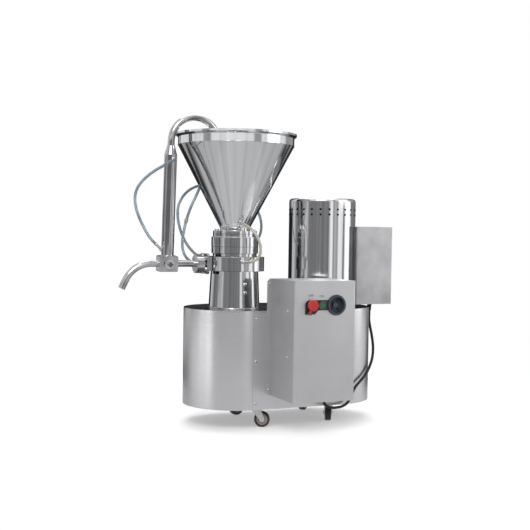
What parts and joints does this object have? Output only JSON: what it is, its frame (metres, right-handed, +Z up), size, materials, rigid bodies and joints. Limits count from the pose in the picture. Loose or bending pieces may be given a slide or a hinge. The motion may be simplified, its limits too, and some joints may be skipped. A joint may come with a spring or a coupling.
{
  "type": "colloid mill",
  "caption": "Upright colloid mill on a wheeled base: feed hopper over a toothed rotor and stator, belt drive from a covered motor, return pipe, three-way valve, spout and control box.",
  "frame": {"origin": "on the floor under the middle of the base", "axes": "+Z up; +X from the mill to the motor along the base; the control box is on the -Y side"},
  "size_m": [0.9252, 0.5485, 0.9968],
  "materials": {
    "stainless_polished": "polished",
    "stainless_satin": "satin",
    "stainless_skirt": "brushed",
    "dark_steel": "satin",
    "zinc_steel": "zinc plated",
    "grey_iron": "cast",
    "hub_grey": "moulded",
    "tyre_red": "moulded",
    "hose_clear": "clear",
    "belt_rubber": "matt",
    "black_rubber": "satin",
    "black_plastic": "moulded",
    "slate_plastic": "moulded",
    "red_plastic": "moulded",
    "green_plastic": "moulded"
  },
  "bodies": {
    "base": {"base_plate": "dark_steel", "frame_posts": "dark_steel", "top_plate": "stainless_skirt", "left_end_panel": "stainless_skirt", "right_end_panel": "stainless_skirt", "front_panel": "stainless_skirt", "rear_panel": "stainless_skirt", "fasteners": "stainless_polished", "caster_plates": "dark_steel", "pedestal": "stainless_polished", "spindle_bearings": "stainless_polished", "shaft_seal": "black_rubber", "drive_belts": "belt_rubber", "motor_body": "grey_iron", "motor_cover": "stainless_polished", "terminal_box": "stainless_satin", "cable_glands": "black_rubber", "discharge_ring": "stainless_polished", "stator_housing": "stainless_polished", "hopper": "stainless_polished", "outlet_flange": "stainless_polished", "union_nut": "stainless_polished", "discharge_pipe": "stainless_polished", "valve_body": "stainless_polished", "spout": "stainless_polished", "pipe_jacket": "stainless_polished", "return_pipe": "stainless_polished", "hose_nipples": "stainless_polished", "hose_jacket": "hose_clear", "hose_back": "hose_clear", "hose_left": "hose_clear", "hose_front": "hose_clear", "control_back": "stainless_satin", "control_box": "stainless_satin", "switch_plate": "black_plastic", "power_socket": "slate_plastic", "power_cable": "black_rubber"},
    "mill_rotor": {"spindle": "stainless_polished", "mill_pulley": "grey_iron", "rotor": "stainless_polished", "rotor_nut": "stainless_polished"},
    "motor_rotor": {"motor_shaft": "stainless_polished", "motor_pulley": "grey_iron"},
    "adjusting_ring": {"adjusting_ring": "stainless_polished"},
    "stator": {"stator": "stainless_polished"},
    "valve_plug": {"valve_plug": "stainless_polished"},
    "stop_paddle": {"stop_paddle": "red_plastic"},
    "start_button": {"start_button": "green_plastic"},
    "fork_front_left": {"fork_front_left": "zinc_steel"},
    "wheel_front_left": {"hub_front_left": "hub_grey", "tyre_front_left": "tyre_red"},
    "fork_front_right": {"fork_front_right": "zinc_steel"},
    "wheel_front_right": {"hub_front_right": "hub_grey", "tyre_front_right": "tyre_red"},
    "fork_rear_left": {"fork_rear_left": "zinc_steel"},
    "wheel_rear_left": {"hub_rear_left": "hub_grey", "tyre_rear_left": "tyre_red"},
    "fork_rear_right": {"fork_rear_right": "zinc_steel"},
    "wheel_rear_right": {"hub_rear_right": "hub_grey", "tyre_rear_right": "tyre_red"}
  },
  "joints": [
    {"name": "motor_spin", "type": "hinge", "parent": "base", "child": "motor_rotor", "pos_m": [0.16, 0, 0.4], "axis": [0, 0, 1], "continuous": true},
    {"name": "mill_spin", "type": "hinge", "parent": "base", "child": "mill_rotor", "pos_m": [-0.16, 0, 0.4], "axis": [0, 0, 1], "continuous": true},
    {"name": "adjusting_turn", "type": "hinge", "parent": "base", "child": "adjusting_ring", "pos_m": [-0.16, 0, 0.5655], "axis": [0, 0, 1], "range_deg": [0, 90]},
    {"name": "stator_slide", "type": "slide", "parent": "base", "child": "stator", "axis": [0, 0, 1], "range_m": [0, 0.0005]},
    {"name": "valve_turn", "type": "hinge", "parent": "base", "child": "valve_plug", "pos_m": [-0.392, 0, 0.521], "axis": [0, -0.9976, -0.0698], "range_deg": [0, 90]},
    {"name": "stop_press", "type": "hinge", "parent": "base", "child": "stop_paddle", "pos_m": [-0.054, -0.342, 0.382], "axis": [-0.9162, 0, 0.4008], "range_deg": [0, 6], "stiffness_Nm_per_rad": 0.5},
    {"name": "start_press", "type": "slide", "parent": "base", "child": "start_button", "axis": [0, 1, 0], "range_m": [0, 0.003], "stiffness_N_per_m": 800},
    {"name": "swivel_front_left", "type": "hinge", "parent": "base", "child": "fork_front_left", "pos_m": [-0.123, -0.105, 0.06], "axis": [0, 0, 1], "continuous": true},
    {"name": "roll_front_left", "type": "hinge", "parent": "fork_front_left", "child": "wheel_front_left", "pos_m": [-0.10382, -0.11354, 0.025], "axis": [0.4067, 0.9135, 0], "continuous": true},
    {"name": "swivel_front_right", "type": "hinge", "parent": "base", "child": "fork_front_right", "pos_m": [0.141, -0.105, 0.06], "axis": [0, 0, 1], "continuous": true},
    {"name": "roll_front_right", "type": "hinge", "parent": "fork_front_right", "child": "wheel_front_right", "pos_m": [0.14954, -0.08582, 0.025], "axis": [-0.9135, 0.4067, 0], "continuous": true},
    {"name": "swivel_rear_left", "type": "hinge", "parent": "base", "child": "fork_rear_left", "pos_m": [-0.123, 0.105, 0.06], "axis": [0, 0, 1], "continuous": true},
    {"name": "roll_rear_left", "type": "hinge", "parent": "fork_rear_left", "child": "wheel_rear_left", "pos_m": [-0.10232, 0.10865, 0.025], "axis": [-0.1736, 0.9848, 0], "continuous": true},
    {"name": "swivel_rear_right", "type": "hinge", "parent": "base", "child": "fork_rear_right", "pos_m": [0.141, 0.105, 0.06], "axis": [0, 0, 1], "continuous": true},
    {"name": "roll_rear_right", "type": "hinge", "parent": "fork_rear_right", "child": "wheel_rear_right", "pos_m": [0.15709, 0.1185, 0.025], "axis": [-0.6428, 0.766, 0], "continuous": true}
  ],
  "couplings": [
    {"joint": "mill_spin", "follows": "motor_spin", "ratio": 1.3704},
    {"joint": "stator_slide", "follows": "adjusting_turn", "m_per_rad": 0.00031828}
  ]
}
